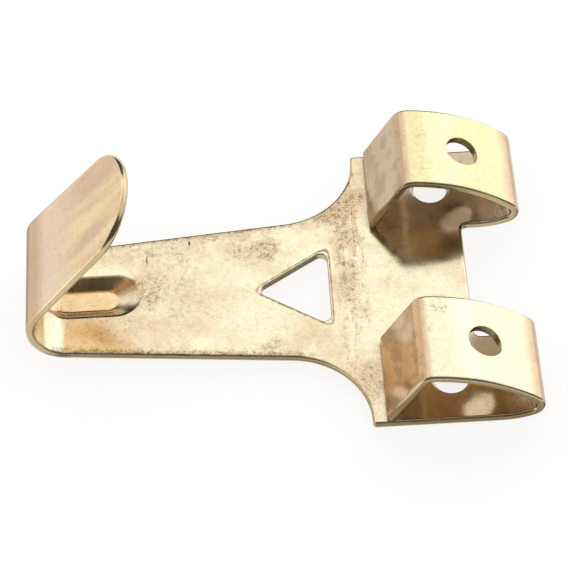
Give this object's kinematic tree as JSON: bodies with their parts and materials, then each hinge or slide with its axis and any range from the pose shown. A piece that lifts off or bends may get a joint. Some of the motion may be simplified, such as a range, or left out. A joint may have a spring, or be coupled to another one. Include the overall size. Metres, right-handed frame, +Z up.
{
  "type": "picture hook",
  "caption": "Sheet-metal picture hook: flat wall plate with curled nail loops at the top, a triangular window, a tapering strap with a pressed rib, and an upturned lip that carries the wire.",
  "frame": {"origin": "on the wall, on the hook's centreline, level with the nail holes of the back plate", "axes": "+Z up as the hook hangs, +Y out of the plate's back into the wall, the front towards -Y, +X across"},
  "size_m": [0.0256, 0.015, 0.0376],
  "materials": {
    "plated_sheet": "bright brass plating, mottled with brown stains"
  },
  "bodies": {
    "root": {"picture_hook": "plated_sheet"}
  },
  "joints": []
}
